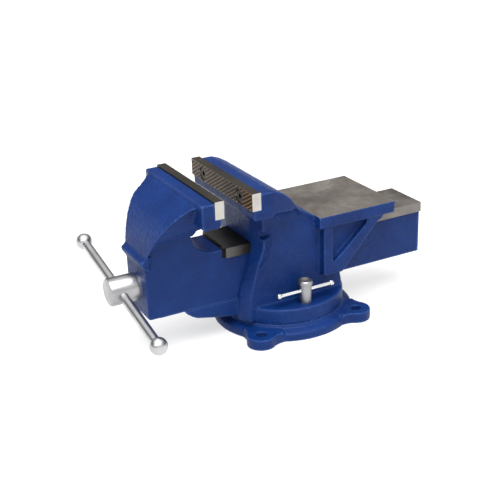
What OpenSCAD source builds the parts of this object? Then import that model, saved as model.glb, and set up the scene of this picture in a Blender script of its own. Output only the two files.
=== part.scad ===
// Swivel-base bench vise with an anvil and a hollow slide beam.
// Units are millimetres. The origin is the centre of the base's underside.
// +Z is up, +X runs along the jaws and -Y points to the handle.

/* [Jaws] */
// Width of the jaws
jaw_w = 150; // [140:1:160]
// Opening between the jaw plates as drawn
rest_open = 32.9; // [20:0.1:60]
// Height of a jaw plate
plate_h = 19.8; // [16:0.1:24]
// Thickness of a jaw plate
plate_t = 10.8; // [8:0.1:12]
// Height of the jaw plates' top edge above the bench
jaw_top = 186; // [182:1:190]
// Spacing of the two screws in a jaw plate
plate_screw_gap = 90; // [60:1:110]

/* [Beam] */
// Width of the painted part of the slide beam
beam_w = 54; // [48:1:58]
// Width of the machined top strip of the beam
strip_w = 60.5; // [58:0.5:64]
// Height of the beam's top face
beam_top = 110.8; // [108:0.1:112]
// Height of the beam's underside
beam_bottom = 45.1; // [45:0.1:47]
// Rear end of the beam
beam_rear = 181; // [165:1:200]
// Side wall thickness of the hollow beam
beam_wall = 9; // [7:0.5:10]
// Gap between the beam and its tunnel
slide_gap = 0.15; // [0.1:0.05:0.3]

/* [Anvil] */
// Width of the anvil
anvil_w = 108.8; // [96:1:120]
// Height of the anvil's top face
anvil_top = 131.4; // [128:0.1:134]
// Front edge of the anvil
anvil_front = 21.1; // [15:0.1:28]
// Rear edge of the anvil
anvil_rear = 124.6; // [112:0.1:140]

/* [Base] */
// Pitch circle diameter of the four bench bolts
bolt_pcd = 181; // [176:1:186]
// Diameter of a bench bolt hole
bolt_hole_d = 12; // [10:0.5:14]
// Outer radius of the base
base_r = 83.5; // [80:0.5:88]
// Height of the joint between base and body
joint_z = 16; // [15:0.5:17]
// Thickness of a bolt lug
lug_h = 12.4; // [9:0.1:13]

/* [Screw] */
// Height of the lead screw's axis
screw_z = 78; // [76:0.5:80]
// Outside diameter of the lead screw
screw_d = 22; // [18:1:24]
// Diameter of the lead screw's head
head_d = 32; // [28:1:36]
// Length of the handle bar between ball centres
handle_len = 216; // [190:1:240]
// Diameter of the handle bar
handle_d = 11; // [9:0.5:13]
// Diameter of a handle ball
ball_d = 19.2; // [16:0.2:24]
// Slope of the handle as drawn
handle_tilt = 10.9; // [0:0.1:30]

/* [Swivel lock] */
// Distance of a lock screw from the middle
lock_x = 57; // [56:0.5:58]
// Length of a lock bar
lock_bar_len = 74.6; // [60:0.1:80]

/* [Hidden] */
$fn = 64;
eps = 0.01;
half_jaw = jaw_w / 2;
half_beam = beam_w / 2;
half_strip = strip_w / 2;
half_anvil = anvil_w / 2;
// front face of the fixed plate, then the moving plate's two faces
fixed_face_y = -75.6;
fixed_seat_y = fixed_face_y + plate_t;
moving_face_y = fixed_face_y - rest_open;
moving_seat_y = moving_face_y - plate_t;
plate_bottom = jaw_top - plate_h;
head_top = jaw_top - 2;
head_bottom = 156;
head_low = 154.8;
head_lip = 2.3;
plate_screw_z = 175;
plate_screw_r = 4;
plate_head_r = 8;
// plan and section of the body
col_half = 42;
web_half = 42.4;
rib_half = 52;
disc_top = 34.5;
disc_r = 72.6;
floor_z = beam_bottom - 0.1;
spigot_r = 20;
spigot_top = joint_z + 6;
fit_gap = 0.08;
anvil_low_z = anvil_top - 13.9;
// base
lug_r = 16.8;
lug_blend = 22;
lock_y = -1;
slot_mid_r = sqrt(lock_x * lock_x + lock_y * lock_y);
slot_half = 6.7;
slot_wide = 10.7;
slot_floor = 4;
slot_lip = 10;
// lead screw
wall_front_y = -183.6;
wall_back_y = -166;
head_front_y = -218.5;
washer_t = 2.6;
screw_tip_y = 126;
handle_y = -205.3;
journal_r = screw_d / 2;
collar_front_y = wall_back_y + 2.7;
head_back_y = wall_front_y - washer_t - 0.05;
head_len = head_back_y - head_front_y;
collar_t = 12;
// lead nut
nut_front_y = -56;
nut_back_y = -14;
nut_half = 16.5;
nut_top = 93.5;
nut_bolt_y = [-46, -28];
nut_bolt_r = 4;
// lock screws
lock_r = 7.1;
lock_collar_r = 8.4;
lock_collar_z = 56.6;
lock_top = 62;
lock_bar_z = 49.4;
lock_bar_r = 2.4;
lock_shank_r = 5;

module blue() { color([0.10, 0.20, 0.45]) children(); }
module bright() { color([0.80, 0.80, 0.82]) children(); }
module iron() { color([0.42, 0.40, 0.38]) children(); }

// a side view (y, z) drawn as an outline and given a width along X
module side_slab(half, outline) {
    translate([-half, 0, 0])
        rotate([90, 0, 90])
            linear_extrude(2 * half) polygon(outline);
}

// a front view (x, z) drawn as an outline and given a depth along Y
module front_slab(y0, y1, outline) {
    translate([0, y1, 0])
        rotate([90, 0, 0])
            linear_extrude(y1 - y0) polygon(outline);
}

// a plain round bar along Y
module rod_y(r, y0, y1, x = 0, z = 0) {
    translate([x, y0, z]) rotate([-90, 0, 0]) cylinder(r = r, h = y1 - y0);
}

// a block from its low corner to its high corner
module block(lo, hi) {
    translate(lo) cube([hi[0] - lo[0], hi[1] - lo[1], hi[2] - lo[2]]);
}

// ---- swivel base -------------------------------------------------------

// one lug along +X, with a round blend into the disc on each side
module lug_plan() {
    near = base_r - 0.3 + lug_blend;
    far = lug_r - 0.1 + lug_blend;
    mid = bolt_pcd / 2;
    turn = acos((near * near + mid * mid - far * far) / (2 * near * mid));
    corner = [near * cos(turn), near * sin(turn)];
    circle_at = [mid, 0];
    translate(circle_at) circle(r = lug_r);
    difference() {
        polygon([[50, 0], corner, circle_at, [corner[0], -corner[1]]]);
        translate(corner) circle(r = lug_blend);
        translate([corner[0], -corner[1]]) circle(r = lug_blend);
    }
}

module t_slot_ring() {
    rotate_extrude()
        polygon([
            [slot_mid_r - slot_wide, slot_floor], [slot_mid_r + slot_wide, slot_floor],
            [slot_mid_r + slot_wide, slot_lip], [slot_mid_r + slot_half, slot_lip],
            [slot_mid_r + slot_half, joint_z + 1], [slot_mid_r - slot_half, joint_z + 1],
            [slot_mid_r - slot_half, slot_lip], [slot_mid_r - slot_wide, slot_lip]
        ]);
}

module swivel_base() {
    blue() difference() {
        union() {
            rotate_extrude()
                polygon([
                    [0, 0], [base_r, 0], [base_r, 7.4], [base_r - 1.4, 9.2],
                    [base_r - 5.6, 10.8], [base_r - 6.8, 11.2], [disc_r + 0.4, 12.2],
                    [disc_r, joint_z],
                    [spigot_r, joint_z], [spigot_r, spigot_top - 1],
                    [spigot_r - 1, spigot_top], [0, spigot_top]
                ]);
            for (a = [45, 135, 225, 315]) {
                rotate([0, 0, a]) linear_extrude(lug_h) lug_plan();
            }
        }
        t_slot_ring();
        // way in for the T-nuts
        rotate([0, 0, 79])
            rotate_extrude(angle = 22)
                translate([slot_mid_r - slot_wide + 0.2, slot_floor + 1])
                    square([2 * slot_wide - 0.4, joint_z]);
        // hollow under the middle
        translate([0, 0, -1]) cylinder(r = 13, h = 12);
        for (a = [45, 135, 225, 315]) {
            rotate([0, 0, a]) translate([bolt_pcd / 2, 0, -1])
                cylinder(r = bolt_hole_d / 2, h = lug_h + 2);
        }
    }
}

// ---- body with the fixed jaw and anvil ---------------------------------

// side view of the jaw head and the web that falls to the anvil
FALL = [
    [-50, head_top], [-42, 181.6], [-33, 176.5], [-25.5, 170], [-16, 160], [-7.2, 150.3],
    [0, 144.2], [8, 139], [14, 135.2], [anvil_front, anvil_top], [anvil_front + 6, anvil_top]
];

module head_sweep() {
    side_slab(half_jaw + 1, concat(
        [
            [fixed_face_y + head_lip, head_low + 1], [fixed_face_y + head_lip, plate_bottom],
            [fixed_seat_y, plate_bottom], [fixed_seat_y, head_top]
        ],
        FALL,
        [
            [anvil_front + 6, anvil_low_z + 4], [8, 132], [-2, 143], [-6, 147.6], [-15, 152],
            [-27, 155], [-38, 157], [-49.4, 157.6], [-50, head_low],
            [fixed_face_y + head_lip + 1, head_low]
        ]
    ));
}

module head_plan() {
    linear_extrude(200)
        polygon([
            [-half_jaw, -80], [half_jaw, -80], [half_jaw, -50], [71.5, -34], [68.5, -24],
            [60.5, -14], [51, -5], [44.5, 2], [web_half, 8], [web_half, anvil_front + 8],
            [-web_half, anvil_front + 8], [-web_half, 8], [-44.5, 2], [-51, -5],
            [-60.5, -14], [-68.5, -24], [-71.5, -34], [-half_jaw, -50]
        ]);
}

// one level of the column: height, front face y, corner x and y, y where the corner's flare ends
COLUMN = [
    [10, -73.3, 43, -65.8, -48], [46, -73.3, 43, -65.2, -47],
    [54, -71.4, 43.2, -63.2, -46], [63, -68.4, 43.6, -61.2, -44],
    [80, -62.7, 44.8, -56.5, -42], [96, -57.8, 49.8, -54.1, -38],
    [110, -56.2, 54.1, -51.9, -34], [120, -56.3, 54.3, -51.9, -34], [127, -56.3, 49, -49.6, -33],
    [140, -56.4, 49, -49.4, -32], [150, -58.5, 50, -51, -30],
    [160, -66, 51, -58, -28]
];

function column_ring(l) = [
    [-l[2], l[3], l[0]], [-half_strip, l[1], l[0]], [half_strip, l[1], l[0]], [l[2], l[3], l[0]],
    [col_half, l[4], l[0]], [col_half, 56, l[0]], [-col_half, 56, l[0]], [-col_half, l[4], l[0]]
];

// column: flat sides that flare to a corner at the front, and a sloping front face
module column_loft() {
    n = 8;
    last = (len(COLUMN) - 1) * n;
    polyhedron(
        points = [for (l = COLUMN) each column_ring(l)],
        faces = concat(
            [[for (k = [0 : n - 1]) k]],
            [[for (k = [n - 1 : -1 : 0]) last + k]],
            [for (r = [0 : len(COLUMN) - 2]) for (k = [0 : n - 1])
                [r * n + k, r * n + n + (k + 1) % n, r * n + (k + 1) % n]],
            [for (r = [0 : len(COLUMN) - 2]) for (k = [0 : n - 1])
                [r * n + k, r * n + n + k, r * n + n + (k + 1) % n]]
        )
    );
}

module column() {
    intersection() {
        column_loft();
        side_slab(60, concat(
            [[-80, 18], [-80, 160], [-60, 170], [-30, 172]],
            [for (k = [4 : 9]) FALL[k] - [0, 1.2]],
            [[56, 118], [56, 18]]
        ));
    }
    side_slab(col_half - 0.2, [[50, 24], [50, 60], [55.9, 60], [56, 53], [58, 44], [58, 24]]);
}

// small notch in each front corner, between the column and the pad under the head
module corner_notches() {
    for (s = [-1, 1]) {
        front_slab(-60, -31, [
            [s * (col_half + 0.3), 120.5], [s * (col_half + 0.3), 127.5],
            [s * (half_jaw), 129.5], [s * (half_jaw), 119.3]
        ]);
    }
}

// rib frame on each side under the anvil, with a sunk triangle
module anvil_frame() {
    difference() {
        side_slab(rib_half, [
            [28, 56.6], [28, 122], [113, 122], [108, 112], [103, 110.2],
            [56.3, 60], [53, 56.6]
        ]);
        for (s = [-1, 1]) {
            translate([s * (rib_half - 4 + 0.5), 0, 0])
                side_slab(4.5, [
                    [39.7, 76], [39.7, anvil_low_z - 1.5], [88, anvil_low_z - 1.5],
                    [86, 109.5], [42.4, 72]
                ]);
        }
    }
}

// long fillet from the column's sides up to the head
module head_pads() {
    front_slab(-50, 2, [
        [-64, 156], [-52, 150], [-45, 142], [-41, 130], [41, 130], [45, 142],
        [52, 150], [64, 156]
    ]);
}

// support nose under the beam
module nose() {
    side_slab(half_beam, [
        [-139.9, floor_z], [-137, 40.6], [-130.6, 35.6], [-125.2, 32.6], [-104.3, 27.8],
        [-71.4, 22.2], [-60, 20], [-60, floor_z]
    ]);
}

module turntable() {
    rotate_extrude()
        polygon([
            [0, joint_z], [disc_r, joint_z], [disc_r, disc_top - 1.5],
            [disc_r - 1.5, disc_top], [0, disc_top]
        ]);
}

module tunnel() {
    block([-half_strip - slide_gap, -90, 98.6], [half_strip + slide_gap, 130, beam_top + slide_gap]);
    block([-half_beam - slide_gap, -90, floor_z], [half_beam + slide_gap, 130, 100]);
}

module vise_body() {
    blue() difference() {
        union() {
            intersection() {
                head_sweep();
                head_plan();
            }
            difference() {
                column();
                corner_notches();
            }
            intersection() {
                head_pads();
                side_slab(70, [
                    [-49, 130], [-49, 158.5], [-40, 158.5], [-27, 156.5], [-16, 151],
                    [-4, 143], [1, 134]
                ]);
            }
            anvil_frame();
            block([-half_anvil, anvil_front, anvil_low_z], [half_anvil, anvil_rear, anvil_top]);
            turntable();
            nose();
        }
        tunnel();
        // socket for the base's spigot
        translate([0, 0, joint_z - 1]) cylinder(r = spigot_r + fit_gap, h = spigot_top - joint_z + 1.5);
        // lock screw holes
        for (s = [-1, 1]) {
            translate([s * lock_x, lock_y, joint_z - 1])
                cylinder(r = lock_shank_r + fit_gap, h = disc_top - joint_z + 2);
        }
        // lead nut screws, from below
        for (y = nut_bolt_y) {
            translate([0, y, joint_z - 1]) cylinder(r = nut_bolt_r + 0.5, h = 40);
            translate([0, y, joint_z - 1]) cylinder(r = 7.4, h = 13);
        }
        // tapped holes for the plate screws
        for (s = [-1, 1]) {
            rod_y(plate_screw_r, fixed_seat_y - 1, -52, s * plate_screw_gap / 2, plate_screw_z);
        }
    }
}

// ---- moving jaw with its beam ------------------------------------------

// side view of the shield's bulging front
SHIELD = [
    [-134.1, 180], [-138.4, 179.6], [-143, 176.4], [-146.9, 174], [-150.2, 171.9],
    [-153.2, 169.9], [-155.8, 168], [-158.2, 166], [-164.2, 160], [-168.5, 154],
    [-172.2, 148], [-175.3, 142], [-177.9, 136], [-180, 130], [-181.7, 124],
    [-182.6, 118.8]
];

module shield_plan() {
    front_slab(-200, -100, [
        [-30, 100], [30, 100], [30.6, 118], [32.3, 124], [34.6, 130], [37.5, 136],
        [40.8, 142], [44.2, 148], [47.8, 154], [51.7, 160], [54.9, 166], [56.7, 170],
        [58.8, 174], [60.6, 176.6], [64, 179], [70, 181], [-70, 181], [-64, 179],
        [-60.6, 176.6], [-58.8, 174], [-56.7, 170], [-54.9, 166], [-51.7, 160],
        [-47.8, 154], [-44.2, 148], [-40.8, 142], [-37.5, 136], [-34.6, 130],
        [-32.3, 124], [-30.6, 118]
    ]);
}

// wings of the shield, arched underneath
module wings() {
    intersection() {
        side_slab(72, concat(SHIELD, [
            [-181.4, 119], [-179.6, 124.5], [-177.6, 129.5], [-173.7, 134.2],
            [-168.7, 138.5], [-163.4, 141.3], [-158, 143.3], [-150, 144.8],
            [-141, 145.6], [-128.3, 144.6], [-118.5, 145.6], [-116.5, 148],
            [-116.5, 157], [-122, 158], [-122, 180]
        ]));
        shield_plan();
    }
}

// soft blend between the wings' underside and the beam's side
module wing_blend() {
    intersection() {
        side_slab(40, [
            [-182, 119], [-180, 123], [-176, 128], [-170, 132.4], [-162, 135.5],
            [-150, 137.6], [-138, 138.2], [-128, 136], [-124, 150], [-140, 170],
            [-160, 160], [-175, 140]
        ]);
        front_slab(-190, -115, [
            [-27, 100], [27, 100], [28.5, 124], [32, 133], [38, 140], [46, 146],
            [46, 172], [-46, 172], [-46, 146], [-38, 140], [-32, 133], [-28.5, 124]
        ]);
    }
}

module moving_head() {
    side_slab(half_jaw, [
        [-134.1, head_top - 0.8], [-133.3, head_top], [moving_seat_y, head_top],
        [moving_seat_y, plate_bottom], [moving_face_y - 3.8, plate_bottom],
        [moving_face_y - 3.8, head_bottom + 2], [moving_face_y - 6, head_bottom],
        [-132, head_bottom], [-134.1, head_bottom + 2]
    ]);
}

// inner core that carries the jaw down to the beam
module jaw_core() {
    side_slab(half_beam, concat(SHIELD, [
        [-188.3, 115.6], [-188.3, 113.4], [-184.6, 107], [wall_front_y, 105],
        [wall_front_y, beam_bottom + 2], [wall_front_y + 2, beam_bottom],
        [-86.9, beam_bottom], [-86.9, 108.4], [-105, 109], [-110, 110.6],
        [-114.2, 112.8], [-120, 117], [-124, 122.6], [-126.5, 128.4], [-127.3, 134],
        [-127.3, 160], [-124, 175]
    ]));
    // brow ridge over the front wall
    side_slab(30, [
        [-176, 121.5], [-182.3, 120.3], [-188.3, 115.6], [-188.3, 113.4], [-184.6, 107],
        [-180, 105]
    ]);
}

module beam() {
    block([-half_beam, -90, beam_bottom], [half_beam, beam_rear, 100]);
    side_slab(half_strip, [
        [-86.9, 99], [-86.9, beam_top - 1], [-85.9, beam_top], [beam_rear - 1, beam_top],
        [beam_rear, beam_top - 1], [beam_rear, 99]
    ]);
    // the strip's front end, across the middle
    side_slab(22, [[-90.4, 99], [-90.4, beam_top - 1], [-89.6, beam_top], [-80, beam_top], [-80, 99]]);
}

module moving_jaw() {
    blue() difference() {
        union() {
            moving_head();
            wings();
            wing_blend();
            jaw_core();
            beam();
        }
        // hollow of the beam, open below and behind
        block([-half_beam + beam_wall, wall_back_y, 40], [half_beam - beam_wall, 200, 95]);
        // bearing for the screw
        rod_y(journal_r + fit_gap, -200, -150, 0, screw_z);
        // tapped holes for the plate screws
        for (s = [-1, 1]) {
            rod_y(plate_screw_r, -131, moving_seat_y + 1, s * plate_screw_gap / 2, plate_screw_z);
        }
    }
}

// ---- jaw plates and their screws ---------------------------------------

// plate drawn with its gripping face at y = 0 and its back at y = plate_t
module jaw_plate() {
    difference() {
        side_slab(half_jaw, [
            [0, plate_bottom + 0.6], [0.6, plate_bottom], [plate_t, plate_bottom],
            [plate_t, jaw_top], [0.6, jaw_top], [0, jaw_top - 0.6]
        ]);
        for (s = [-1, 1]) {
            translate([s * plate_screw_gap / 2, -eps, plate_screw_z]) rotate([-90, 0, 0]) {
                cylinder(r = plate_screw_r + 0.4, h = plate_t + 1);
                cylinder(r = plate_head_r + 0.3, h = 2.2);
                translate([0, 0, 2.19]) cylinder(r1 = plate_head_r + 0.3, r2 = plate_screw_r + 0.4, h = 4);
            }
        }
    }
}

module plate_screws() {
    for (s = [-1, 1]) {
        translate([s * plate_screw_gap / 2, 0, plate_screw_z]) rotate([-90, 0, 0])
            difference() {
                rotate_extrude()
                    polygon([
                        [0, 1.2], [plate_head_r - 0.4, 1.2], [plate_head_r, 1.6],
                        [plate_head_r, 2.18], [plate_screw_r, 6.18],
                        [plate_screw_r, plate_t + 11], [0, plate_t + 11]
                    ]);
                cylinder(r = 3.2, h = 4, $fn = 6);
            }
    }
}

module fixed_jaw_plate() {
    iron() translate([0, fixed_face_y, 0]) jaw_plate();
}

module moving_jaw_plate() {
    iron() translate([0, moving_face_y, 0]) mirror([0, 1, 0]) jaw_plate();
}

module fixed_jaw_screws() {
    iron() translate([0, fixed_face_y, 0]) plate_screws();
}

module moving_jaw_screws() {
    iron() translate([0, moving_face_y, 0]) mirror([0, 1, 0]) plate_screws();
}

// ---- lead screw, handle and retaining parts ----------------------------

module handle_frame() {
    translate([0, handle_y, screw_z]) rotate([0, handle_tilt, 0]) children();
}

module lead_screw() {
    bright() difference() {
        translate([0, head_front_y, screw_z]) rotate([-90, 0, 0])
            rotate_extrude()
                polygon([
                    [0, 0], [head_d / 2 - 2, 0], [head_d / 2 - 0.6, 0.6], [head_d / 2, 2],
                    [head_d / 2, head_len - 0.8], [head_d / 2 - 0.8, head_len],
                    [journal_r, head_len],
                    [journal_r, screw_tip_y - head_front_y - 2],
                    [journal_r - 2, screw_tip_y - head_front_y],
                    [0, screw_tip_y - head_front_y]
                ]);
        handle_frame() rotate([0, 90, 0])
            cylinder(r = handle_d / 2 + fit_gap, h = head_d + 10, center = true);
        // hole for the collar's pin
        translate([0, collar_front_y + collar_t / 2, screw_z])
            cylinder(r = 2.5, h = 60, center = true);
    }
}

module handle_bar() {
    bright() handle_frame() rotate([0, 90, 0])
        cylinder(r = handle_d / 2, h = handle_len - ball_d * 0.55, center = true);
}

// end ball with a flat-bottomed socket for the bar
module handle_ball(side) {
    bright() handle_frame() translate([side * handle_len / 2, 0, 0]) rotate([0, side * -90, 0])
        rotate_extrude()
            difference() {
                circle(r = ball_d / 2);
                translate([-ball_d, -ball_d]) square([ball_d, 2 * ball_d]);
                translate([-1, ball_d * 0.275]) square([handle_d / 2 + 1, ball_d]);
            }
}

module handle_ball_left() { handle_ball(-1); }

module handle_ball_right() { handle_ball(1); }

module ring_y(y0, y1, r_in, r_out) {
    difference() {
        rod_y(r_out, y0, y1, 0, screw_z);
        rod_y(r_in, y0 - 1, y1 + 1, 0, screw_z);
    }
}

module thrust_washer() {
    bright() ring_y(wall_front_y - washer_t, wall_front_y, journal_r + fit_gap, 15);
}

module spring_washer() {
    iron() translate([0, wall_back_y, screw_z]) rotate([-90, 0, 0])
        rotate_extrude()
            polygon([
                [16, 0], [16, 1.2], [journal_r + 0.5, 2.6], [journal_r + 0.5, 1.4]
            ]);
}

module retaining_collar() {
    iron() difference() {
        ring_y(collar_front_y, collar_front_y + collar_t, journal_r, 16.5);
        translate([0, collar_front_y + collar_t / 2, screw_z])
            cylinder(r = 2.5, h = 60, center = true);
    }
}

module collar_pin() {
    iron() translate([0, collar_front_y + collar_t / 2, screw_z])
        cylinder(r = 2.5, h = 32, center = true);
}

module lead_nut() {
    iron() difference() {
        union() {
            block([-nut_half, nut_front_y, floor_z], [nut_half, nut_back_y, screw_z]);
            rod_y(nut_half - 1, nut_front_y, nut_back_y, 0, screw_z);
        }
        rod_y(journal_r + 0.05, nut_front_y - 1, nut_back_y + 1, 0, screw_z);
        for (y = nut_bolt_y) {
            translate([0, y, floor_z - 1]) cylinder(r = nut_bolt_r, h = 17);
        }
    }
}

module nut_bolts() {
    iron() for (y = nut_bolt_y) {
        translate([0, y, 0]) {
            translate([0, 0, 26]) cylinder(r = nut_bolt_r, h = 34);
            difference() {
                translate([0, 0, 19.5]) cylinder(r = 6.5, h = 6.8);
                translate([0, 0, 19]) cylinder(r = 3.4, h = 4, $fn = 6);
            }
        }
    }
}

module nut_washers() {
    iron() for (y = nut_bolt_y) {
        translate([0, y, 26.3]) difference() {
            cylinder(r = 7.2, h = 1.7);
            translate([0, 0, -1]) cylinder(r = nut_bolt_r + 0.2, h = 4);
        }
    }
}

// ---- swivel locks ------------------------------------------------------

module lock_screw(side) {
    bright() translate([side * lock_x, lock_y, 0]) difference() {
        rotate_extrude()
            polygon([
                [0, 4.6], [lock_shank_r - 1, 4.6], [lock_shank_r, 5.6],
                [lock_shank_r, disc_top + 0.1], [lock_r, disc_top + 0.1],
                [lock_r, lock_collar_z], [lock_collar_r - 0.5, lock_collar_z],
                [lock_collar_r, lock_collar_z + 0.5], [lock_collar_r, lock_top - 1],
                [lock_collar_r - 1, lock_top], [lock_r - 1, lock_top],
                [lock_r - 2, lock_top - 3], [3.4, lock_top - 3.4], [2.4, lock_top - 1.6],
                [0, lock_top - 1.2]
            ]);
        translate([0, 0, lock_bar_z]) rotate([90, 0, 0])
            cylinder(r = lock_bar_r + fit_gap, h = 30, center = true);
    }
}

module lock_bar(side) {
    bright() translate([side * lock_x, lock_y, lock_bar_z]) rotate([90, 0, 0])
        cylinder(r = lock_bar_r, h = lock_bar_len - 3, center = true);
}

module lock_knobs(side) {
    bright() for (e = [-1, 1]) {
        translate([side * lock_x, lock_y + e * lock_bar_len / 2, lock_bar_z])
            rotate([e * 90, 0, 0])
                rotate_extrude()
                    polygon([
                        [0, 0], [2.4, 0], [3.2, 0.6], [3.5, 1.6], [3.5, 3.6], [3.1, 4.6],
                        [lock_bar_r, 5], [lock_bar_r, 1.5], [0, 1.5]
                    ]);
    }
}

module lock_screw_right() { lock_screw(1); }

module lock_screw_left() { lock_screw(-1); }

module lock_bar_right() { lock_bar(1); }

module lock_bar_left() { lock_bar(-1); }

module lock_knobs_right() { lock_knobs(1); }

module lock_knobs_left() { lock_knobs(-1); }

module t_nut(side) {
    lock_angle = atan2(lock_y, side * lock_x);
    iron() difference() {
        rotate([0, 0, lock_angle - 8]) rotate_extrude(angle = 16)
            polygon([
                [slot_mid_r - slot_wide + 0.4, slot_floor + 0.5],
                [slot_mid_r + slot_wide - 0.4, slot_floor + 0.5],
                [slot_mid_r + slot_wide - 0.4, slot_lip - 0.3],
                [slot_mid_r + slot_half - 0.4, slot_lip - 0.3],
                [slot_mid_r + slot_half - 0.4, joint_z - 0.6],
                [slot_mid_r - slot_half + 0.4, joint_z - 0.6],
                [slot_mid_r - slot_half + 0.4, slot_lip - 0.3],
                [slot_mid_r - slot_wide + 0.4, slot_lip - 0.3]
            ]);
        translate([side * lock_x, lock_y, 0]) cylinder(r = lock_shank_r + fit_gap, h = 30);
    }
}

module t_nut_right() { t_nut(1); }

module t_nut_left() { t_nut(-1); }

swivel_base();
vise_body();
moving_jaw();
fixed_jaw_plate();
moving_jaw_plate();
fixed_jaw_screws();
moving_jaw_screws();
lead_screw();
handle_bar();
handle_ball_left();
handle_ball_right();
thrust_washer();
spring_washer();
retaining_collar();
collar_pin();
lead_nut();
nut_bolts();
nut_washers();
lock_screw_right();
lock_screw_left();
lock_bar_right();
lock_bar_left();
lock_knobs_right();
lock_knobs_left();
t_nut_right();
t_nut_left();
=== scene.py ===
# Looks of the bench vise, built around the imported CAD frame. Metres, +Z up.
import math

import bmesh
import bpy
import numpy as np
from mathutils import Matrix, Vector


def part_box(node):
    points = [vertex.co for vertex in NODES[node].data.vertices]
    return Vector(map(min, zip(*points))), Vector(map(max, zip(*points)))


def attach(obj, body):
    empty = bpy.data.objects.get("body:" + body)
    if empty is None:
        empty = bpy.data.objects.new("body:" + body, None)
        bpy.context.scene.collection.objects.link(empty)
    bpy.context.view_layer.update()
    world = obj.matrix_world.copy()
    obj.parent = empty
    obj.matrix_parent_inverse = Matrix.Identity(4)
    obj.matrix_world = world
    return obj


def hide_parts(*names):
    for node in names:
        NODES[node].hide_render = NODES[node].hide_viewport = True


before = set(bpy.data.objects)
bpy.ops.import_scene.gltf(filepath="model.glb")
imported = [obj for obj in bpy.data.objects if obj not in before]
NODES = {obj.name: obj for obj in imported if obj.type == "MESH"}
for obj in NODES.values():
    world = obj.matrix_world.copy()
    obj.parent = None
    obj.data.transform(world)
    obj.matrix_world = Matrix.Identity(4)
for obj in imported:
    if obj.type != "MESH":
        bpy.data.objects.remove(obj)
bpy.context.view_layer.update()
MM = 0.001


# ---------------------------------------------------------------- helpers
def link(name, mesh):
    ob = bpy.data.objects.new(name, mesh)
    bpy.context.scene.collection.objects.link(ob)
    return ob


def node_copy(node, name):
    """A new object with a welded copy of a CAD node's mesh."""
    mesh = NODES[node].data.copy()
    mesh.materials.clear()
    bm = bmesh.new()
    bm.from_mesh(mesh)
    bmesh.ops.remove_doubles(bm, verts=bm.verts, dist=2e-6)
    bm.to_mesh(mesh)
    bm.free()
    for name_ in [a.name for a in mesh.attributes if a.name.startswith("custom_normal")]:
        mesh.attributes.remove(mesh.attributes[name_])
    return link(name, mesh)


def applied(ob):
    """Applies the object's modifiers to its mesh."""
    bpy.context.view_layer.update()
    graph = bpy.context.evaluated_depsgraph_get()
    mesh = bpy.data.meshes.new_from_object(ob.evaluated_get(graph))
    old = ob.data
    ob.modifiers.clear()
    ob.data = mesh
    bpy.data.meshes.remove(old)
    return ob


def cleaned(ob, near=2e-5):
    """Merges points that fell together and drops the folded faces this leaves."""
    bm = bmesh.new()
    bm.from_mesh(ob.data)
    bmesh.ops.remove_doubles(bm, verts=bm.verts, dist=near)
    bmesh.ops.dissolve_degenerate(bm, edges=bm.edges, dist=near)
    seen, folded = {}, []
    for face in bm.faces:
        corners = frozenset(v.index for v in face.verts)
        if corners in seen:
            folded += [face, seen.pop(corners)]
        else:
            seen[corners] = face
    bmesh.ops.delete(bm, geom=folded, context="FACES")
    bm.to_mesh(ob.data)
    bm.free()


def points(ob):
    co = np.empty(len(ob.data.vertices) * 3, np.float64)
    ob.data.vertices.foreach_get("co", co)
    return co.reshape(-1, 3)


def set_points(ob, co):
    ob.data.vertices.foreach_set("co", np.ascontiguousarray(co, np.float32).ravel())
    ob.data.update()


def inside(co, lo, hi):
    """Mask of the points in a box given in millimetres."""
    return np.all((co >= np.array(lo) * MM) & (co <= np.array(hi) * MM), axis=1)


def smoothed(ob, rounds, weight):
    """Evens the mesh out by its neighbours, by weight at each vertex."""
    co = points(ob)
    edges = np.empty(len(ob.data.edges) * 2, np.int32)
    ob.data.edges.foreach_get("vertices", edges)
    edges = edges.reshape(-1, 2)
    count = np.bincount(edges.ravel(), minlength=len(co)).astype(float)
    count[count == 0] = 1
    for _ in range(rounds):
        mean = np.empty_like(co)
        for k in range(3):
            mean[:, k] = (
                np.bincount(edges[:, 0], co[edges[:, 1], k], len(co))
                + np.bincount(edges[:, 1], co[edges[:, 0], k], len(co))
            ) / count
        co += (mean - co) * weight[:, None]
    set_points(ob, co)


def snap(co, axis, value, tol, lo=(-999, -999, -999), hi=(999, 999, 999)):
    """Moves the points near a machined plane onto it. Millimetres."""
    near = (np.abs(co[:, axis] - value * MM) < tol * MM) & inside(co, lo, hi)
    co[near, axis] = value * MM


def shade(ob, degrees):
    ob.data.shade_smooth()
    ob.data.set_sharp_from_angle(angle=math.radians(degrees))


def face_centres(ob):
    c = np.empty(len(ob.data.polygons) * 3, np.float64)
    ob.data.polygons.foreach_get("center", c)
    n = np.empty(len(ob.data.polygons) * 3, np.float64)
    ob.data.polygons.foreach_get("normal", n)
    return c.reshape(-1, 3), n.reshape(-1, 3)


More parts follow.
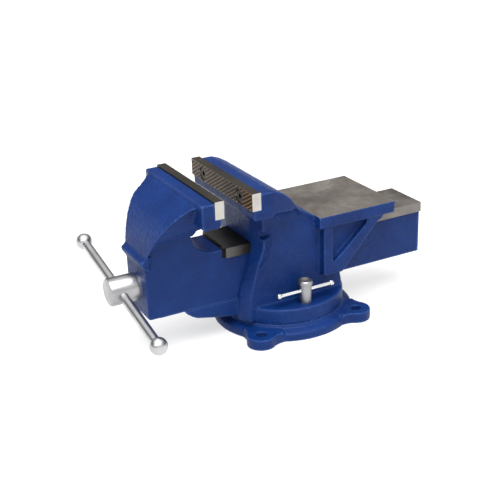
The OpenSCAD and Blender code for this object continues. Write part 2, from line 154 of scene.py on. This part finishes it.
# -------------------------------------------------------------- materials
class Nodes:
    """Short forms for building a material's node tree."""

    def __init__(self, name):
        self.mat = bpy.data.materials.new(name)
        self.mat.use_nodes = True
        self.tree = self.mat.node_tree
        self.tree.nodes.clear()
        out = self.tree.nodes.new("ShaderNodeOutputMaterial")
        self.shader = self.tree.nodes.new("ShaderNodeBsdfPrincipled")
        self.link(self.shader.outputs[0], out.inputs["Surface"])
        self.coords = self.tree.nodes.new("ShaderNodeTexCoord").outputs["Object"]

    def link(self, a, b):
        self.tree.links.new(a, b)

    def set(self, **values):
        for key, value in values.items():
            self.shader.inputs[key.replace("_", " ")].default_value = value

    def mapped(self, scale):
        m = self.tree.nodes.new("ShaderNodeMapping")
        m.inputs["Scale"].default_value = scale
        self.link(self.coords, m.inputs["Vector"])
        return m.outputs[0]

    def noise(self, scale, detail=3.0, rough=0.55, vector=None, distortion=0.0):
        n = self.tree.nodes.new("ShaderNodeTexNoise")
        n.inputs["Scale"].default_value = scale
        n.inputs["Detail"].default_value = detail
        n.inputs["Roughness"].default_value = rough
        n.inputs["Distortion"].default_value = distortion
        self.link(vector or self.coords, n.inputs["Vector"])
        return n.outputs["Fac"]

    def range(self, value, a, b, to_a, to_b):
        r = self.tree.nodes.new("ShaderNodeMapRange")
        self.link(value, r.inputs["Value"])
        for key, v in (("From Min", a), ("From Max", b), ("To Min", to_a), ("To Max", to_b)):
            r.inputs[key].default_value = v
        return r.outputs[0]

    def mix(self, fac, a, b):
        m = self.tree.nodes.new("ShaderNodeMix")
        m.data_type = "RGBA"
        for socket, value in ((m.inputs[0], fac), (m.inputs[6], a), (m.inputs[7], b)):
            if isinstance(value, (int, float)):
                socket.default_value = value
            elif isinstance(value, tuple):
                socket.default_value = value if len(value) == 4 else (*value, 1)
            else:
                self.link(value, socket)
        return m.outputs[2]

    def math(self, op, a, b):
        m = self.tree.nodes.new("ShaderNodeMath")
        m.operation = op
        for socket, value in ((m.inputs[0], a), (m.inputs[1], b)):
            if isinstance(value, (int, float)):
                socket.default_value = value
            else:
                self.link(value, socket)
        return m.outputs[0]

    def bump(self, height, distance, strength=1.0, normal=None):
        b = self.tree.nodes.new("ShaderNodeBump")
        b.inputs["Distance"].default_value = distance
        b.inputs["Strength"].default_value = strength
        self.link(height, b.inputs["Height"])
        if normal is not None:
            self.link(normal, b.inputs["Normal"])
        return b.outputs[0]

    def pointiness(self):
        return self.tree.nodes.new("ShaderNodeNewGeometry").outputs["Pointiness"]

    def colour(self, socket):
        self.link(socket, self.shader.inputs["Base Color"])

    def roughness(self, socket):
        self.link(socket, self.shader.inputs["Roughness"])

    def normal(self, socket):
        self.link(socket, self.shader.inputs["Normal"])


def blue_enamel():
    """Blue paint over sand-cast iron: mottled, with painted highlights along the edges and painted shade in
    the hollows.
    """
    m = Nodes("blue_enamel")
    m.set(IOR=1.5, Specular_IOR_Level=0.165)
    big = m.noise(22, 3, 0.6)
    fine = m.noise(700, 4, 0.65)
    base = m.mix(m.range(big, 0.35, 0.65, 0, 1), (0.0020, 0.0190, 0.104), (0.0036, 0.0300, 0.148))
    base = m.mix(m.range(fine, 0.38, 0.64, 0.0, 0.6), base, (0.0014, 0.0100, 0.072))
    # painted highlight: convex edges are lightened towards a paler blue, broken up by noise
    edge_highlight = m.range(m.pointiness(), 0.515, 0.575, 0.0, 0.8)
    edge_highlight = m.math("MULTIPLY", edge_highlight, m.range(m.noise(260, 3, 0.7), 0.4, 0.6, 0.4, 1.0))
    base = m.mix(edge_highlight, base, (0.040, 0.100, 0.300))
    # painted shade: concave places are darkened towards near-black navy
    hollow_shade = m.range(m.pointiness(), 0.48, 0.42, 0.0, 0.6)
    base = m.mix(hollow_shade, base, (0.0008, 0.004, 0.028))
    m.colour(base)
    m.roughness(m.range(m.noise(160, 4, 0.6), 0.3, 0.7, 0.36, 0.52))
    coarse = m.bump(m.noise(260, 3, 0.6), 0.0012, 0.7)
    m.normal(m.bump(m.noise(1000, 3, 0.6), 0.0004, 0.7, coarse))
    return m.mat


def machined_iron(name, along, tone):
    """Ground iron with fine lines along one axis and cloudy handling marks."""
    m = Nodes(name)
    m.set(Metallic=1.0)
    scale = [2600, 2600, 2600]
    scale[along] = 26
    lines = m.noise(1.0, 3, 0.6, m.mapped(tuple(scale)))
    cloud = m.noise(14, 4, 0.6, distortion=0.4)
    spots = m.noise(120, 4, 0.7)
    a, b, c = tone
    base = m.mix(m.range(cloud, 0.35, 0.68, 0, 1), a, b)
    base = m.mix(m.range(spots, 0.45, 0.7, 0.0, 0.5), base, c)
    base = m.mix(m.range(lines, 0.3, 0.7, 0.0, 0.35), base, tuple(0.6 * v for v in a))
    m.colour(base)
    m.roughness(m.range(m.mix(0.5, cloud, lines), 0.3, 0.7, 0.36, 0.58))
    m.normal(m.bump(lines, 0.00006, 0.35))
    return m.mat


def serrated_steel(name, face_y, inward):
    """Gripping face: painted shade, near black, in the cuts, brown patina and a rusty patch on the crests.
    face_y is the plane of the crests, inward the sense of Y going into the plate."""
    m = Nodes(name)
    m.set(Metallic=0.85)
    place = m.tree.nodes.new("ShaderNodeSeparateXYZ")
    m.link(m.coords, place.inputs[0])
    deep = m.math("MULTIPLY", m.math("SUBTRACT", place.outputs[1], face_y), inward)
    crest = m.range(deep, 0.00005, 0.00038, 1.0, 0.0)
    rust = m.noise(150, 4, 0.7)
    spots = m.noise(600, 4, 0.75)
    end = m.range(m.math("ADD", place.outputs[0], m.math("MULTIPLY", rust, 0.02)), 0.045, 0.070, 0, 1)
    patina = m.mix(m.range(rust, 0.4, 0.65, 0, 1), (0.225, 0.182, 0.145), (0.31, 0.235, 0.155))
    patina = m.mix(m.math("MULTIPLY", end, m.range(spots, 0.4, 0.55, 0.3, 1)), patina, (0.50, 0.27, 0.09))
    # painted shade: the cuts go near black with their depth below the crests
    base = m.mix(crest, (0.016, 0.012, 0.010), patina)
    m.colour(base)
    m.roughness(m.range(m.noise(400, 3, 0.6), 0.3, 0.7, 0.42, 0.62))
    m.normal(m.bump(m.noise(1500, 3, 0.6), 0.0001, 0.4))
    return m.mat


def bright_plate(name, rough, tone, lines=(300, 3200, 300)):
    """Plated steel with faint turning marks, close together where lines is large."""
    m = Nodes(name)
    m.set(Metallic=1.0)
    turned = m.noise(1.0, 2, 0.5, m.mapped(lines))
    smudge = m.noise(45, 4, 0.6)
    base = m.mix(m.range(smudge, 0.35, 0.7, 0, 1), tone, tuple(0.82 * v for v in tone))
    m.colour(base)
    m.roughness(m.range(m.mix(0.6, smudge, turned), 0.3, 0.7, *rough))
    m.normal(m.bump(turned, 0.00004, 0.3))
    return m.mat


def dark_steel(name, tone, rough):
    m = Nodes(name)
    m.set(Metallic=1.0)
    patch = m.noise(220, 4, 0.65)
    m.colour(m.mix(m.range(patch, 0.35, 0.7, 0, 1), tone, tuple(0.55 * v for v in tone)))
    m.roughness(m.range(m.noise(500, 3, 0.6), 0.3, 0.7, *rough))
    m.normal(m.bump(m.noise(900, 3, 0.6), 0.0001, 0.4))
    return m.mat


def raw_casting():
    m = Nodes("raw_casting")
    m.set(Metallic=0.6)
    grain = m.noise(700, 4, 0.7)
    m.colour(m.mix(m.range(grain, 0.35, 0.65, 0, 1), (0.12, 0.115, 0.11), (0.22, 0.21, 0.20)))
    m.roughness(m.range(grain, 0.3, 0.7, 0.55, 0.8))
    m.normal(m.bump(grain, 0.0003, 0.6))
    return m.mat


def slide_iron():
    """Ground slide: painted shade, near black, close to the column and under the jaws, paler in front of it
    and palest behind the column; a darker painted shade on the step's end faces.
    """
    m = Nodes("ground_slide")
    m.set(Metallic=1.0)
    lines = m.noise(1.0, 3, 0.6, m.mapped((2600, 26, 2600)))
    cloud = m.noise(30, 4, 0.65, distortion=0.4)
    place = m.tree.nodes.new("ShaderNodeSeparateXYZ")
    m.link(m.coords, place.inputs[0])
    wander = m.math("MULTIPLY", m.math("SUBTRACT", cloud, 0.5), 0.03)
    at = m.math("ADD", place.outputs[1], wander)
    # painted shade: the slide goes near black from just behind the moving jaw's head back through the column
    behind = m.range(at, -0.089, -0.066, 0.0, 1.0)
    rear = m.range(at, 0.06, 0.10, 0.0, 1.0)
    front = m.mix(m.range(cloud, 0.35, 0.68, 0, 1), (0.115, 0.110, 0.105), (0.17, 0.162, 0.152))
    back = m.mix(m.range(cloud, 0.35, 0.68, 0, 1), (0.17, 0.155, 0.145), (0.27, 0.25, 0.232))
    base = m.mix(rear, front, back)
    base = m.mix(m.range(lines, 0.3, 0.7, 0.0, 0.35), base, (0.08, 0.074, 0.068))
    base = m.mix(m.math("SUBTRACT", behind, rear), base, (0.030, 0.028, 0.026))
    # painted shade: the step's end faces ahead of the strip front go almost black
    step = m.range(place.outputs[1], -0.0872, -0.0868, 1.0, 0.0)
    base = m.mix(step, base, (0.012, 0.011, 0.010))
    m.colour(base)
    m.roughness(m.range(cloud, 0.3, 0.7, 0.40, 0.60))
    m.normal(m.bump(lines, 0.00006, 0.35))
    return m.mat


BLUE = blue_enamel()
ANVIL = machined_iron("ground_anvil", 1, ((0.26, 0.225, 0.205), (0.46, 0.425, 0.39), (0.20, 0.17, 0.15)))
STRIP = slide_iron()
PLATE = machined_iron("ground_plate", 0, ((0.085, 0.076, 0.066), (0.125, 0.112, 0.096), (0.05, 0.044, 0.038)))
PLATE_END = machined_iron("bright_plate_end", 2, ((0.52, 0.50, 0.47), (0.60, 0.58, 0.55), (0.42, 0.39, 0.36)))
BRIGHT = bright_plate("bright_plate", (0.20, 0.34), (0.68, 0.68, 0.69))
BAR = bright_plate("bright_bar", (0.20, 0.32), (0.74, 0.74, 0.74), (2600, 26, 2600))
HANDLE = bright_plate("satin_handle", (0.24, 0.38), (0.52, 0.52, 0.53))
HEAD = bright_plate("turned_head", (0.24, 0.38), (0.40, 0.40, 0.41))
BRIGHT_LOCK = bright_plate("bright_lock", (0.30, 0.46), (0.36, 0.36, 0.365))
OILED = dark_steel("oiled_steel", (0.060, 0.050, 0.042), (0.34, 0.52))
SPRING = dark_steel("spring_steel", (0.10, 0.10, 0.11), (0.30, 0.45))
IRON = raw_casting()


# --------------------------------------------------------------- castings
MOST_FACES = 186000  # triangles in one casting

# machined planes of the castings, in millimetres
ANVIL_TOP, ANVIL_HALF, ANVIL_REAR = 131.4, 54.4, 124.6
TUNNEL_HALF, TUNNEL_STRIP_HALF, TUNNEL_TOP = 27.15, 30.4, 110.95
STRIP_TOP, STRIP_HALF, STRIP_FLOOR = 110.8, 30.25, 99
STRIP_FRONT, STEP_FRONT, STEP_HALF = -86.9, -90.4, 22
BEAM_HALF, BEAM_FLOOR, BEAM_REAR = 27, 45.1, 181
SWIVEL_JOINT = 16.0
FAR = 182  # just behind the beam


def casting(node, name, voxel, rounds, soft, planes, bare):
    """A cast piece: the CAD shape with rounded cast edges and crisp machined faces.
    soft(co) gives the smoothing weight at each vertex, planes the machined faces
    to hold, and bare the boxes whose faces are left unpainted."""
    ob = node_copy(node, name)
    mod = ob.modifiers.new("voxels", "REMESH")
    mod.mode = "VOXEL"
    mod.voxel_size = voxel * MM
    applied(ob)
    co = points(ob)
    smoothed(ob, rounds, soft(co))
    co = points(ob)
    for plane in planes:
        snap(co, *plane)
    lo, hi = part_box(node)
    co = np.clip(co, np.array(lo), np.array(hi))
    set_points(ob, co)
    cleaned(ob)
    count = sum(len(p.vertices) - 2 for p in ob.data.polygons)
    if count > MOST_FACES:
        mod = ob.modifiers.new("fewer", "DECIMATE")
        mod.ratio = MOST_FACES / count
        applied(ob)
    ob.data.materials.append(BLUE)
    slots = np.zeros(len(ob.data.polygons), np.int32)
    centres, _ = face_centres(ob)
    for k, (lo, hi, material) in enumerate(bare):
        ob.data.materials.append(material)
        slots[inside(centres, lo, hi)] = k + 1
    ob.data.polygons.foreach_set("material_index", slots)
    shade(ob, 40)
    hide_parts(node)
    return ob


def body_soft(co):
    w = np.full(len(co), 0.6)
    w[inside(co, (-60, 18, 128.4), (60, 130, 140))] = 0
    w[inside(co, (-80, -80, 163), (80, -62.5, 190))] = 0
    w[inside(co, (-31.5, -70, 44), (31.5, 70, 112))] = 0.2
    return w


body = casting(
    "vise_body", "body_casting", 1.2, 3, body_soft,
    [
        (2, ANVIL_TOP, 0.9, (-60, 20, 120), (60, 130, 140)),
        (0, ANVIL_HALF, 0.9, (40, 21, 128), (60, 130, 140)),
        (0, -ANVIL_HALF, 0.9, (-60, 21, 128), (-40, 130, 140)),
        (1, ANVIL_REAR, 0.9, (-60, 110, 128), (60, 130, 140)),
        (0, TUNNEL_STRIP_HALF, 0.6, (29, -70, 98.6), (32, 70, 111)),
        (0, -TUNNEL_STRIP_HALF, 0.6, (-32, -70, 98.6), (-29, 70, 111)),
        (0, TUNNEL_HALF, 0.6, (26, -80, 45), (29, 70, 98.6)),
        (0, -TUNNEL_HALF, 0.6, (-29, -80, 45), (-26, 70, 98.6)),
        (2, TUNNEL_TOP, 0.6, (-31, -70, 109), (31, 70, 112)),
        (2, SWIVEL_JOINT, 0.7, (-75, -75, 10), (75, 75, 20)),
    ],
    [((-54.5, 20.6, 131.35), (54.5, 125, 132), ANVIL)],
)
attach(body, "body")


def jaw_soft(co):
    w = np.full(len(co), 0.6)
    w[inside(co, (-32, -92, 97), (32, FAR, 112))] = 0
    w[inside(co, (-80, -121, 163), (80, -107, 190))] = 0
    w[inside(co, (-28, -80, 44), (28, FAR, 97))] = 0.2
    return w


jaw = casting(
    "moving_jaw", "jaw_casting", 1.2, 3, jaw_soft,
    [
        (2, STRIP_TOP, 0.9, (-31, -92, 105), (31, FAR, 112)),
        (0, STRIP_HALF, 0.9, (28.9, -88, 98.2), (32, FAR, 112)),
        (0, -STRIP_HALF, 0.9, (-32, -88, 98.2), (-28.9, FAR, 112)),
        (1, STEP_FRONT, 0.9, (-22, -92, 99.5), (22, -88, 109.5)),
        (0, STEP_HALF, 0.9, (20, -92, 99.5), (24, -87.4, 111)),
        (0, -STEP_HALF, 0.9, (-24, -92, 99.5), (-20, -87.4, 111)),
        (1, STRIP_FRONT, 0.9, (22.6, -90, 99.5), (31, -84, 111)),
        (1, STRIP_FRONT, 0.9, (-31, -90, 99.5), (-22.6, -84, 111)),
        (2, STRIP_FLOOR, 0.8, (27.8, -90, 97), (31, FAR, 101)),
        (2, STRIP_FLOOR, 0.8, (-31, -90, 97), (-27.8, FAR, 101)),
        (0, BEAM_HALF, 0.8, (25, -170, 46), (28, FAR, 97)),
        (0, -BEAM_HALF, 0.8, (-28, -170, 46), (-25, FAR, 97)),
        (2, BEAM_FLOOR, 0.8, (-28, -170, 44), (28, FAR, 47)),
        (1, BEAM_REAR, 0.9, (-31, 178, 40), (31, FAR, 112)),
    ],
    [((-31, -91, 98.7), (31, FAR, 112), STRIP)],
)
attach(jaw, "jaw")

base = casting(
    "swivel_base", "base_casting", 1.1, 3,
    lambda co: np.full(len(co), 0.6), [(2, 0.0, 0.8)], [],
)
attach(base, "base")


# ------------------------------------------------------------- jaw plates
TOOTH_PITCH, TOOTH_DEPTH, TOOTH_SLANT = 3.8, 0.75, 29  # mm, mm, degrees
HOLE_X, HOLE_Z = 45, 175  # mm, places of the plate's screws
HEAD_R, SHANK_R = 8.3, 4.4  # mm, countersink and clearance hole


def jaw_plate(node, name, facing):
    """Steel plate with a diamond-cut gripping face and countersunk holes.
    facing is +1 where the gripping face looks along +Y."""
    lo, hi = (np.array(v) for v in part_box(node))
    pitch, depth, step = TOOTH_PITCH * MM, TOOTH_DEPTH * MM, 0.36 * MM
    slant = math.radians(TOOTH_SLANT)
    nx = int(round((hi[0] - lo[0]) / step))
    nz = int(round((hi[2] - lo[2]) / step))
    xs = np.linspace(lo[0], hi[0], nx + 1)
    zs = np.linspace(lo[2], hi[2], nz + 1)
    gx, gz = np.meshgrid(xs, zs, indexing="ij")

    def groove(t):
        return np.abs((t / pitch) % 1.0 - 0.5) * 2

    along = facing * -math.sin(slant) * gx
    a = np.clip((groove(gz * math.cos(slant) - along) - 0.30) / 0.70, 0, 1)
    b = np.clip((groove(gz * math.cos(slant) + along) - 0.42) / 0.58, 0, 1)
    cut = np.maximum(a, 0.62 * b) * depth
    rim = np.minimum.reduce([gx - lo[0], hi[0] - gx, gz - lo[2], hi[2] - gz])
    cut *= np.clip(rim / (1.2 * MM), 0, 1)
    cut = np.maximum(cut, 0.35 * MM * (1 - np.clip(rim / (0.5 * MM), 0, 1)))
    front = (hi[1] - cut) if facing > 0 else (lo[1] + cut)
    back = lo[1] if facing > 0 else hi[1]
    n = (nx + 1) * (nz + 1)
    verts = np.stack([gx.ravel(), front.ravel(), gz.ravel()], 1)
    idx = np.arange(n).reshape(nx + 1, nz + 1)
    quads = np.stack([idx[:-1, :-1], idx[1:, :-1], idx[1:, 1:], idx[:-1, 1:]], -1).reshape(-1, 4)
    if facing > 0:
        quads = quads[:, ::-1]
    rim_loop = list(idx[:, 0]) + list(idx[-1, 1:]) + list(idx[-2::-1, -1]) + list(idx[0, -2:0:-1])
    rim_pts = verts[rim_loop].copy()
    rim_pts[:, 1] = back
    rim_new = list(range(n, n + len(rim_loop)))
    faces = [tuple(int(v) for v in q) for q in quads]
    for k in range(len(rim_loop)):
        a0, a1 = int(rim_loop[k]), int(rim_loop[(k + 1) % len(rim_loop)])
        b0, b1 = rim_new[k], rim_new[(k + 1) % len(rim_loop)]
        faces.append((a0, b0, b1, a1) if facing < 0 else (a0, a1, b1, b0))
    faces.append(tuple(rim_new) if facing < 0 else tuple(rim_new[::-1]))
    mesh = bpy.data.meshes.new(name)
    mesh.from_pydata([tuple(v) for v in np.vstack([verts, rim_pts])], [], faces)
    bm = bmesh.new()
    bm.from_mesh(mesh)
    bmesh.ops.recalc_face_normals(bm, faces=bm.faces)
    bm.to_mesh(mesh)
    bm.free()
    ob = link(name, mesh)
    for x in (-HOLE_X * MM, HOLE_X * MM):
        cutter = revolve(
            f"{name}_cut",
            [(0, -0.001), (HEAD_R * MM, -0.001), (HEAD_R * MM, 0.0022),
             (SHANK_R * MM, 0.0061), (SHANK_R * MM, 0.02), (0, 0.02)],
            48,
        )
        y = hi[1] if facing > 0 else lo[1]
        turn = Matrix.Rotation(math.radians(90 if facing > 0 else -90), 4, "X")
        cutter.matrix_world = Matrix.Translation((x, y, HOLE_Z * MM)) @ turn
        mod = ob.modifiers.new("hole", "BOOLEAN")
        mod.object = cutter
        mod.operation = "DIFFERENCE"
        mod.solver = "EXACT"
        applied(ob)
        bpy.data.objects.remove(cutter)
    cleaned(ob, 1.5e-5)
    ob.data.materials.append(PLATE)
    ob.data.materials.append(
        serrated_steel(name + "_teeth", hi[1] if facing > 0 else lo[1], -facing)
    )
    ob.data.materials.append(PLATE_END)
    centres, normals = face_centres(ob)
    slots = np.zeros(len(centres), np.int32)
    grip = hi[1] - 0.7 * MM if facing > 0 else lo[1] + 0.7 * MM
    on_face = (centres[:, 1] > grip) if facing > 0 else (centres[:, 1] < grip)
    slots[on_face & (np.abs(normals[:, 0]) < 0.95) & (np.abs(normals[:, 2]) < 0.95)] = 1
    slots[np.abs(normals[:, 0]) > 0.95] = 2
    ob.data.polygons.foreach_set("material_index", slots)
    shade(ob, 25)
    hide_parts(node)
    return ob


def revolve(name, profile, steps):
    """A closed turned shape about Z, from (radius, height) pairs."""
    verts, faces, rings = [], [], []
    for r, z in profile:
        if r == 0:
            rings.append([len(verts)])
            verts.append((0, 0, z))
        else:
            rings.append(list(range(len(verts), len(verts) + steps)))
            verts += [
                (r * math.cos(2 * math.pi * k / steps), r * math.sin(2 * math.pi * k / steps), z)
                for k in range(steps)
            ]
    for lower, upper in zip(rings, rings[1:]):
        for k in range(steps):
            m = (k + 1) % steps
            if len(lower) == 1:
                faces.append((lower[0], upper[k], upper[m]))
            elif len(upper) == 1:
                faces.append((lower[k], lower[m], upper[0]))
            else:
                faces.append((lower[k], lower[m], upper[m], upper[k]))
    mesh = bpy.data.meshes.new(name)
    mesh.from_pydata(verts, [], faces)
    bm = bmesh.new()
    bm.from_mesh(mesh)
    bmesh.ops.recalc_face_normals(bm, faces=bm.faces)
    bm.to_mesh(mesh)
    bm.free()
    return link(name, mesh)


fixed_plate = jaw_plate("fixed_jaw_plate", "fixed_plate", -1)
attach(fixed_plate, "body")
moving_plate = jaw_plate("moving_jaw_plate", "moving_plate", 1)
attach(moving_plate, "jaw")


# ------------------------------------------------------------- lead screw
THREAD_START = -147  # mm, behind the collar
SCREW_Z = 78  # mm, height of the screw's axis
CREST_R, ROOT_R, LEAD = 11, 8.6, 5  # mm, of the thread


def lead_screw():
    """The forged head and journal of the CAD part, with a cut thread behind them."""
    ob = node_copy("lead_screw", "lead_screw_threaded")
    start, tip = THREAD_START * MM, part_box("lead_screw")[1][1]
    bm = bmesh.new()
    bm.from_mesh(ob.data)
    everything = bm.verts[:] + bm.edges[:] + bm.faces[:]
    cut = bmesh.ops.bisect_plane(
        bm, geom=everything, plane_co=(0, start, 0), plane_no=(0, 1, 0), clear_outer=True
    )
    rim = [e for e in cut["geom_cut"] if isinstance(e, bmesh.types.BMEdge)]
    bmesh.ops.holes_fill(bm, edges=rim)
    bm.to_mesh(ob.data)
    bm.free()
    centre_z = SCREW_Z * MM
    crest, root, pitch = CREST_R * MM, ROOT_R * MM, LEAD * MM
    around, step = 48, 0.5 * MM
    ys = np.arange(start - 0.5 * MM, tip, step)
    ys[-1] = tip
    theta = np.linspace(0, 2 * np.pi, around, endpoint=False)
    gy, gt = np.meshgrid(ys, theta, indexing="ij")
    phase = (gy / pitch - gt / (2 * np.pi)) % 1.0
    tooth = np.clip((np.abs(phase - 0.5) * 2 - 0.32) / 0.36, 0, 1)
    radius = root + (crest - root) * tooth
    radius = np.minimum(radius, crest - np.clip(gy - (tip - 2 * MM), 0, None))
    radius = np.where(gy < start, root, radius)
    verts = np.stack([radius * np.cos(gt), gy, centre_z + radius * np.sin(gt)], -1).reshape(-1, 3)
    idx = np.arange(len(verts)).reshape(len(ys), around)
    nxt = np.roll(idx, -1, axis=1)
    quads = np.stack([idx[:-1], idx[1:], nxt[1:], nxt[:-1]], -1).reshape(-1, 4)
    faces = [tuple(int(v) for v in q) for q in quads]
    faces += [tuple(int(v) for v in idx[0]), tuple(int(v) for v in idx[-1][::-1])]
    mesh = bpy.data.meshes.new("thread")
    mesh.from_pydata([tuple(v) for v in verts], [], faces)
    bm = bmesh.new()
    bm.from_mesh(mesh)
    bmesh.ops.recalc_face_normals(bm, faces=bm.faces)
    bm.from_mesh(ob.data)
    bm.to_mesh(ob.data)
    bm.free()
    ob.data.materials.append(HEAD)
    shade(ob, 30)
    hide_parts("lead_screw")
    return ob


screw = lead_screw()
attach(screw, "screw")


# ------------------------------------------------- finishes on CAD nodes
FINISH = {
    "fixed_jaw_screws": OILED, "moving_jaw_screws": OILED,
    "handle_bar": HANDLE, "handle_ball_left": HANDLE, "handle_ball_right": HANDLE,
    "thrust_washer": BRIGHT, "spring_washer": SPRING, "retaining_collar": OILED,
    "collar_pin": OILED, "lead_nut": IRON, "nut_bolts": OILED, "nut_washers": OILED,
    "lock_screw_right": BRIGHT_LOCK, "lock_screw_left": BRIGHT_LOCK,
    "lock_bar_right": BAR, "lock_bar_left": BAR,
    "lock_knobs_right": BAR, "lock_knobs_left": BAR,
    "t_nut_right": IRON, "t_nut_left": IRON,
}
for node, material in FINISH.items():
    for holder in NODES[node].material_slots:
        holder.material = material


# ------------------------------------------------------- floor and lights
def paper():
    m = Nodes("paper_floor")
    m.set(Roughness=0.9, Emission_Color=(1, 1, 1, 1), Emission_Strength=0.62)
    m.colour(m.mix(m.noise(3, 2, 0.5), (0.36, 0.36, 0.36), (0.38, 0.38, 0.38)))
    m.normal(m.bump(m.noise(900, 2, 0.5), 0.00005, 0.2))
    return m.mat


FLOOR = 25  # metres, half its width
mesh = bpy.data.meshes.new("floor")
corners = [(-FLOOR, -FLOOR, 0), (FLOOR, -FLOOR, 0), (FLOOR, FLOOR, 0), (-FLOOR, FLOOR, 0)]
mesh.from_pydata(corners, [], [(0, 1, 2, 3)])
floor = link("floor", mesh)
floor.data.materials.append(paper())
floor.location.z = -0.0002


def area_light(name, at, aim, size, power):
    data = bpy.data.lights.new(name, "AREA")
    data.shape = "RECTANGLE"
    data.size, data.size_y = size
    data.energy = power
    ob = bpy.data.objects.new(name, data)
    bpy.context.scene.collection.objects.link(ob)
    ob.location = at
    ob.rotation_euler = (Vector(aim) - Vector(at)).to_track_quat("-Z", "Y").to_euler()


sun = bpy.data.lights.new("overhead", "SUN")
sun.energy = 3.9
sun.angle = math.radians(55)
overhead = bpy.data.objects.new("overhead", sun)
bpy.context.scene.collection.objects.link(overhead)
overhead.rotation_euler = Vector((-0.28, 0.20, -1)).to_track_quat("-Z", "Y").to_euler()
area_light("front_box", (0.5, -1.5, 0.9), (0, -0.1, 0.12), (0.7, 0.5), 3.0)

world = bpy.data.worlds.new("studio")
bpy.context.scene.world = world
world.use_nodes = True
tree = world.node_tree
sky = tree.nodes["Background"]
sky.inputs["Color"].default_value = (1, 1, 1, 1)
way = tree.nodes.new("ShaderNodeSeparateXYZ")
tree.links.new(tree.nodes.new("ShaderNodeTexCoord").outputs["Generated"], way.inputs[0])


def lobe(axis, start, end, low, high):
    """Brightness of the studio rising from low to high along an axis."""
    node = tree.nodes.new("ShaderNodeMapRange")
    node.interpolation_type = "SMOOTHSTEP"
    tree.links.new(way.outputs[axis], node.inputs["Value"])
    for key, v in (("From Min", start), ("From Max", end), ("To Min", low), ("To Max", high)):
        node.inputs[key].default_value = v
    return node.outputs[0]


def plus(a, b):
    node = tree.nodes.new("ShaderNodeMath")
    tree.links.new(a, node.inputs[0])
    tree.links.new(b, node.inputs[1])
    return node.outputs[0]


ceiling = lobe(2, 0.35, 0.95, 0.12, 1.3)
right_wall = lobe(0, 0.25, 0.95, 0.0, 0.85)
horizon = lobe(2, 0.0, 0.16, 1.0, 0.0)
tree.links.new(plus(plus(ceiling, right_wall), horizon), sky.inputs["Strength"])

# ----------------------------------------------------------------- camera
AZIMUTH, ELEVATION, ROLL = (math.radians(v) for v in (62.5545, 23.2103, -2.1019))
CAMERA_AT = (0.950568, -0.534986, 0.546956)
LENS = 72.11
forward = Vector(
    (-math.sin(AZIMUTH) * math.cos(ELEVATION), math.cos(AZIMUTH) * math.cos(ELEVATION), -math.sin(ELEVATION))
)
level = Vector((math.cos(AZIMUTH), math.sin(AZIMUTH), 0))
rise = level.cross(forward)
right = level * math.cos(ROLL) + rise * math.sin(ROLL)
up = rise * math.cos(ROLL) - level * math.sin(ROLL)
camera_data = bpy.data.cameras.new("camera")
camera_data.sensor_width = 36
camera_data.lens = LENS
camera = bpy.data.objects.new("camera", camera_data)
bpy.context.scene.collection.objects.link(camera)
turn = Matrix((right, up, -forward)).transposed().to_4x4()
camera.matrix_world = Matrix.Translation(CAMERA_AT) @ turn
bpy.context.scene.camera = camera
bpy.context.scene.view_settings.view_transform = "Standard"
